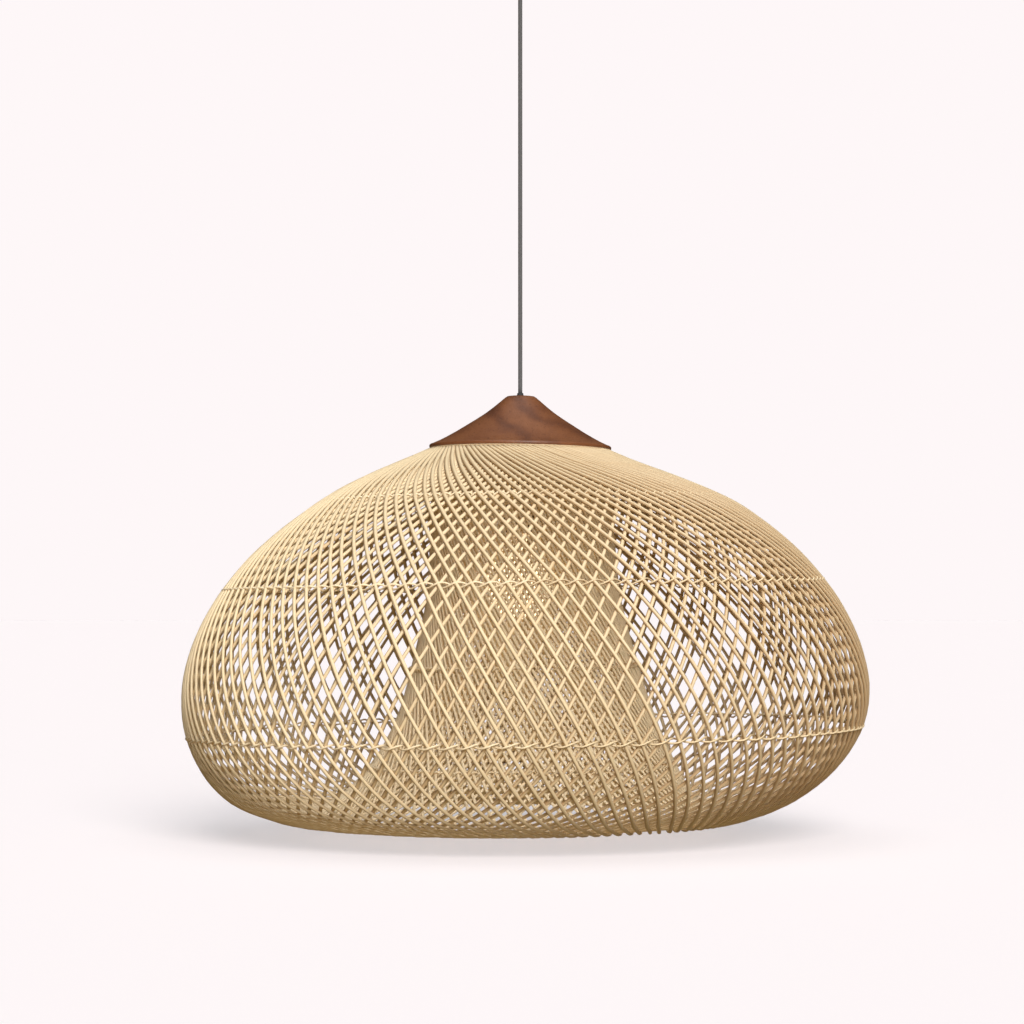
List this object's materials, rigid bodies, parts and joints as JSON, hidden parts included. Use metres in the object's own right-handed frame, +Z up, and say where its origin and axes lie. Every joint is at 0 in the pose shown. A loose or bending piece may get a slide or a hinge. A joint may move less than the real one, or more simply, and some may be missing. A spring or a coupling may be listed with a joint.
{
  "type": "pendant ceiling light",
  "caption": "Wide woven rattan pendant light with a turned wooden cap, hung on a textile cord from a round ceiling canopy; swings, tilts and turns on its cord.",
  "frame": {"origin": "middle of the fixing bracket's flat top face, where it meets the ceiling, straight above the lamp", "axes": "+Z up out of the ceiling face, +X to the right and +Y away from a viewer in front; the lamp hangs below the origin"},
  "size_m": [0.8002, 0.8002, 1.067],
  "materials": {
    "rattan": "peeled natural cane, satin",
    "rattan_inside": "peeled natural cane, satin",
    "teak": "oiled turned wood",
    "textile": "braided textile sleeve",
    "rubber": "matt",
    "paint": "fine powder coat",
    "steel": "zinc plated",
    "brass": "pressed and plated",
    "plastic": "moulded, satin",
    "ceramic": "steatite",
    "glass": "softly frosted"
  },
  "bodies": {
    "ceiling_fixing": {"ceiling_bracket": "steel", "ceiling_screw_left": "steel", "ceiling_screw_right": "steel", "cord_clamp": "plastic", "clamp_screw_left": "steel", "clamp_screw_right": "steel", "terminal_block": "ceramic", "terminal_screw_live": "brass", "terminal_screw_neutral": "brass", "canopy_cup": "paint", "canopy_screw_left": "paint", "canopy_screw_right": "paint", "canopy_gland": "plastic", "gland_nut": "plastic", "canopy_lead": "textile"},
    "cord_neck": {"cord_neck": "textile"},
    "cord": {"suspension_cord": "textile"},
    "cord_entry": {"cap_grommet": "rubber"},
    "lamp": {"wooden_cap": "teak", "top_plate": "steel", "top_hoop": "rattan", "cap_screw_1": "steel", "cap_screw_2": "steel", "cap_screw_3": "steel", "cord_grip": "plastic", "grip_screw": "steel", "threaded_tube": "steel", "lock_nut_upper": "steel", "plate_washer": "steel", "lock_nut_lower": "steel", "lampholder_lead": "textile", "lampholder_dome": "plastic", "lampholder_skirt": "plastic", "lampholder_core": "ceramic", "screw_sleeve": "brass", "centre_contact": "brass", "shade_crown_canes": "rattan", "shade_belly_canes": "rattan", "shade_rim_canes": "rattan", "shade_weave_inner": "rattan", "flare_mouth_canes": "rattan_inside", "flare_bell_canes": "rattan_inside", "flare_tube_canes": "rattan_inside", "flare_weave_outer": "rattan_inside", "shade_ring_upper": "rattan", "shade_ring_middle": "rattan", "shade_ring_lower": "rattan", "flare_ring_upper": "rattan_inside", "flare_ring_lower": "rattan_inside"},
    "bulb": {"bulb_screw_cap": "brass", "bulb_insulator": "plastic", "bulb_tip_contact": "brass", "bulb_glass": "glass", "bulb_stem": "ceramic"}
  },
  "joints": [
    {"name": "swing_fore_aft", "type": "hinge", "parent": "ceiling_fixing", "child": "cord_neck", "pos_m": [0, 0, -0.065], "axis": [1, 0, 0], "range_deg": [-30, 30]},
    {"name": "swing_side", "type": "hinge", "parent": "cord_neck", "child": "cord", "pos_m": [0, 0, -0.085], "axis": [0, 1, 0], "range_deg": [-30, 30]},
    {"name": "lamp_tilt", "type": "hinge", "parent": "cord", "child": "cord_entry", "pos_m": [0, 0, -0.565], "axis": [0, 1, 0], "range_deg": [-12, 12]},
    {"name": "lamp_turn", "type": "hinge", "parent": "cord_entry", "child": "lamp", "pos_m": [0, 0, -0.57], "axis": [0, 0, 1], "range_deg": [-180, 180]},
    {"name": "bulb_unscrew", "type": "hinge", "parent": "lamp", "child": "bulb", "pos_m": [0, 0, -0.72], "axis": [0, 0, -1], "range_deg": [0, 1260]}
  ]
}
